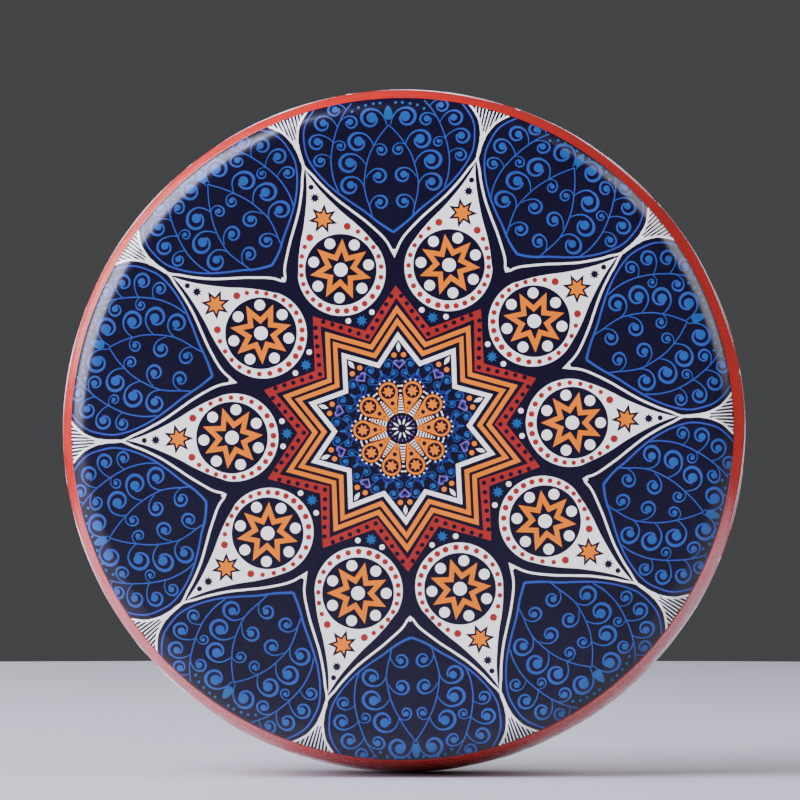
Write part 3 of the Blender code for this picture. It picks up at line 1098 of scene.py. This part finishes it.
def medallion(inks, axis, lean):
    """A cream teardrop with a starred disc, beads and small stars."""
    inks["cream"].patch(teardrop(lean), axis, 1)
    x, y = lean, DISC_MIDDLE
    tilt = -90 - 4 * lean
    inks["navy"].dot(x, y, 12.85, axis, 2, sides=72)
    inks["orange"].star(x, y, 7, 11.2, 5.75, axis, 3, tilt)
    inks["navy"].star(x, y, 7, 6.6, 3.3, axis, 4, tilt)
    inks["cream"].dot(x, y, 2.45, axis, 5)
    for k in range(7):
        a = math.radians(tilt + 360 / 7 * (k + 0.5))
        inks["cream"].dot(x + 10.1 * math.cos(a), y + 10.1 * math.sin(a), 1.95, axis, 3)
    red_beads(inks, axis, lean)
    inks["navy"].star(0.3 * lean, 80.2, 7, 5.5, 2.7, axis, 2)
    inks["orange"].star(0.3 * lean, 80.2, 7, 3.45, 1.85, axis, 3)
    inks["navy"].star(0.5 * lean, 88.3, 8, 1.9, 1.05, axis, 2)
    inks["navy"].dot(0.4 * lean, 92.4, 0.95, axis, 2)
    inks["blue"].star(0, 41.2, 8, 2.1, 1.15, axis, 1)
    for side in (-1, 1):
        inks["cream"].dot(4.5 * side, 42.8, 1.0, axis, 1)


def star_band(ink, outer, inner):
    """A ten-pointed band, each edge given by the radius of its tips and of its valleys."""
    edges = []
    for tip, valley in (outer, inner):
        ring = []
        for k in range(21):
            angle = math.radians(PETALS[0] + 18 * k)
            radius = valley if k % 2 else tip
            ring.append((radius * math.cos(angle), radius * math.sin(angle)))
        edges.append(ring)
    ink.between(*edges, 90.0, 1)


def star_bands(inks):
    star_band(inks["red"], (51.3, 37.4), (46.8, 33.2))
    star_band(inks["orange"], (44.3, 32.1), (41.5, 30.1))
    star_band(inks["orange"], (39.8, 28.8), (37.2, 26.8))
    star_band(inks["cream"], (34.7, 25.1), (31.9, 23.1))
    for axis in PETALS:
        for side in (-1, 1):
            for x, y in ((1.8, 47.5), (3.7, 44.7), (5.4, 41.9), (7.2, 39.1), (9.0, 36.3)):
                inks["navy"].dot(side * x, y, 0.8, axis, 2)
    for axis in MEDALLIONS:
        inks["navy"].dot(0, 35.2, 0.8, axis, 2)


def heart(x, y, wide, high):
    """A heart with its tip towards the drum's centre."""
    outline = []
    for k in range(36):
        a = 2 * math.pi * k / 36
        across = math.sin(a) ** 3
        up = (13 * math.cos(a) - 5 * math.cos(2 * a) - 2 * math.cos(3 * a) - math.cos(4 * a)) / 16
        outline.append((x + across * wide / 2, y + up * high / 1.9))
    return outline


def small_curl(inks, x, y, radius, dot, from_x, from_y, axis):
    """A small blue curl of the inner field."""
    start = math.atan2(from_y - y, from_x - x)
    away = math.hypot(from_x - x, from_y - y)
    way = -1 if x > 0 else 1
    run, widths = [], []
    for sweep in range(0, 421, 20):
        angle = start + way * math.radians(sweep)
        reach = (away, radius, radius * 0.95, radius * 0.7, radius * 0.4)
        distance = np.interp(sweep, (0, 50, 200, 320, 420), reach)
        run.append((x + distance * math.cos(angle), y + distance * math.sin(angle)))
        widths.append(0.26 + 0.3 * sweep / 420)
    inks["royal"].ribbon(run, [1.25 * width for width in widths], axis, 1)
    inks["blue"].ribbon(run, widths, axis, 2, 0.5)
    inks["blue"].dot(x, y, dot, axis, 2)


def inner_field(inks):
    """The field of curls and hearts inside the white star."""
    for axis in PETALS:
        lens = []
        for k in range(24):
            a = 2 * math.pi * k / 24
            lens.append((0.62 * math.cos(a) ** 3 * 1.2, 29.2 + 1.9 * math.sin(a)))
        inks["cream"].patch(lens, axis, 2)
        inks["lilac"].patch(heart(0, 23.3, 4.1, 3.7), axis, 1)
        inks["royal"].patch(heart(0, 23.3, 2.7, 2.4), axis, 2)
        inks["navy"].dot(0, 23.1, 0.6, axis, 3)
        for side in (-1, 1):
            inks["orange"].dot(1.7 * side, 26.4, 0.95, axis, 2)
            small_curl(inks, 3.9 * side, 23.2, 1.75, 0.8, 4.9 * side, 17.6, axis)
            small_curl(inks, 1.95 * side, 19.9, 1.3, 0.62, 4.7 * side, 17.7, axis)
    for axis in MEDALLIONS:
        inks["blue"].patch(oval(0, 21.0, 0.42, 1.4, 20), axis, 2)
        for spread in (-2, -1, 1, 2):
            a = math.radians(90 + 17 * spread)
            reach = 3.6 - 0.5 * abs(spread)
            stem = []
            for t in np.linspace(0, 1, 9):
                stem.append((1.1 * spread + reach * t * math.cos(a), 18.3 + reach * t * math.sin(a)))
            inks["royal"].ribbon(stem, 0.62 * np.sin(np.linspace(0.35, 2.9, 9)), axis, 1)
        arc = []
        for step in range(-7, 8):
            a = math.radians(90 + 2.0 * step)
            arc.append((18.6 * math.cos(a), 18.6 * math.sin(a) - 0.04 * step * step))
        inks["royal"].ribbon(arc, [0.5] * len(arc), axis, 1)


def rosette(inks):
    """Ten orange drops round a small white flower."""
    for axis in MEDALLIONS:
        drop = [(0.25, 5.4), (0.9, 7.2), (1.7, 9.4), (2.6, 11.4)]
        round_part = []
        for step in range(25):
            a = math.radians(-38) + math.radians(256) * step / 24
            round_part.append((3.45 * math.cos(a), 14.0 + 3.45 * math.sin(a)))
        outline = drop + round_part + [(-x, y) for x, y in drop[::-1]]
        inks["orange"].patch(outline, axis, 3)
        inks["navy"].dot(0, 14.0, 2.6, axis, 4)
        inks["orange"].star(0, 14.0, 7, 2.15, 1.25, axis, 5)
        inks["navy"].dot(0, 9.6, 0.75, axis, 4)
        inks["red"].dot(0, 7.6, 0.32, axis, 4)
        for k in range(9):
            a = math.radians(-15 + 210 * k / 8)
            inks["cream"].dot(4.1 * math.cos(a), 14.0 + 4.1 * math.sin(a), 0.33, axis, 3)
        inks["cream"].patch(oval(0, 2.55, 0.34, 1.1, 16), axis, 5)
    for axis in PETALS:
        for k in range(7):
            y = 5.7 + k
            half = 1.12 - 0.13 * k
            inks["cream"].between([(-half, y), (-half, y + 0.5)], [(half, y), (half, y + 0.5)], axis, 4)
        inks["cream"].between([(-0.7, 15.1), (-0.7, 15.55)], [(0.7, 15.1), (0.7, 15.55)], axis, 4)
        for side in (-1, 1):
            run = [(side * (1.24 - 0.12 * k), 5.6 + k) for k in range(7)]
            inks["orange"].ribbon(run, [0.2] * 7, axis, 3)
    inks["navy"].dot(0, 0, 5.0, 90, 4, sides=64)
    for k in range(20):
        inks["lilac"].between([(-0.18, 3.9), (-0.18, 4.65)], [(0.18, 3.9), (0.18, 4.65)], 18.0 * k + 2, 5)


def make_print(skin):
    """The whole print, one mesh for each ink."""
    inks = {name: Print() for name in INK}
    for k, axis in enumerate(PETALS):
        petal(inks, axis, k % 2 == 1)
    for k, axis in enumerate(MEDALLIONS):
        hatching(inks, axis)
        medallion(inks, axis, -MEDALLION_LEAN if k % 2 else MEDALLION_LEAN)
    star_bands(inks)
    inner_field(inks)
    rosette(inks)
    names = {"deep": "print_deep_blue", "royal": "print_royal_blue"}
    return [ink.make(names.get(name, f"print_{name}"), INK[name], skin) for name, ink in inks.items()]


# ---------------------------------------------------------------- stage, lights and camera

FLOOR_RADIUS = 1.4
FLOOR_TONES = ((0.37, 0.375, 0.385), (0.40, 0.405, 0.415))
SKY_COLOUR = (0.86, 0.88, 0.92, 1.0)
SKY_STRENGTH = 0.075


def make_stage():
    """A plain pale floor."""
    floor_z = cad_box[0].z
    segments = 96
    points = []
    for k in range(segments):
        a = 2 * math.pi * k / segments
        points.append((FLOOR_RADIUS * math.cos(a), FLOOR_RADIUS * math.sin(a), floor_z))
    made = Surface("pale_floor", IOR=1.4)
    cloud = made.span(made.noise(3.0, 3.0), 0.3, 0.7)
    surface = made.finish(made.mix(cloud, *FLOOR_TONES), 0.8)
    piece("floor", points, [tuple(range(segments))], surface, body=None)


def area_light(name, place, size, energy, colour=(1.0, 1.0, 1.0)):
    """A soft light that faces the drum's middle."""
    data = bpy.data.lights.new(name, "AREA")
    data.shape = "RECTANGLE"
    data.size, data.size_y = size
    data.energy = energy
    data.color = colour
    lamp = bpy.data.objects.new(name, data)
    lamp.location = place
    lamp.rotation_mode = "QUATERNION"
    lamp.rotation_quaternion = (-Vector(place)).to_track_quat("-Z", "Y")
    bpy.context.scene.collection.objects.link(lamp)


def make_lights():
    area_light("key_light", (-1.54, -0.70, 1.06), (1.9, 2.2), 222, (0.80, 0.77, 1.0))
    area_light("right_light", (1.55, -0.44, 1.05), (1.6, 1.5), 42, (0.88, 0.86, 1.0))
    area_light("back_light", (-1.6, 1.5, 1.1), (2.0, 1.8), 36)
    world = bpy.data.worlds.new("studio")
    world.use_nodes = True
    world.node_tree.nodes["Background"].inputs["Color"].default_value = SKY_COLOUR
    world.node_tree.nodes["Background"].inputs["Strength"].default_value = SKY_STRENGTH
    bpy.context.scene.world = world


CAMERA_DISTANCE = 1.77  # to the middle of the skin
CAMERA_AZIMUTH = 1.0
CAMERA_ELEVATION = -1.0
CAMERA_LENS = 222.6  # in mm, on a 36 mm sensor
AIM_OFFSET = (-0.0007, 0.0, 0.0102)  # the aim is this far from the middle of the skin


def make_camera():
    data = bpy.data.cameras.new("camera")
    data.sensor_width = 36.0
    data.lens = CAMERA_LENS
    made = bpy.data.objects.new("camera", data)
    bpy.context.scene.collection.objects.link(made)
    azimuth, elevation = math.radians(CAMERA_AZIMUTH), math.radians(CAMERA_ELEVATION)
    level = math.cos(elevation)
    back = Vector((math.sin(azimuth) * level, -math.cos(azimuth) * level, math.sin(elevation)))
    middle = Vector((0.0, FRONT, 0.0))
    made.location = middle + back * CAMERA_DISTANCE
    made.rotation_mode = "QUATERNION"
    made.rotation_quaternion = (middle + Vector(AIM_OFFSET) - made.location).to_track_quat("-Z", "Y")
    bpy.context.scene.camera = made


def main():
    make_camera()
    make_shell()
    make_back_hoop()
    make_band()
    # the painted highlight along the ridge
    make_painted_ridge_highlight()
    make_chips()
    make_scrolls()
    make_units()
    skin = make_skin()
    inks = make_print(skin)
    make_stage()
    make_lights()


main()
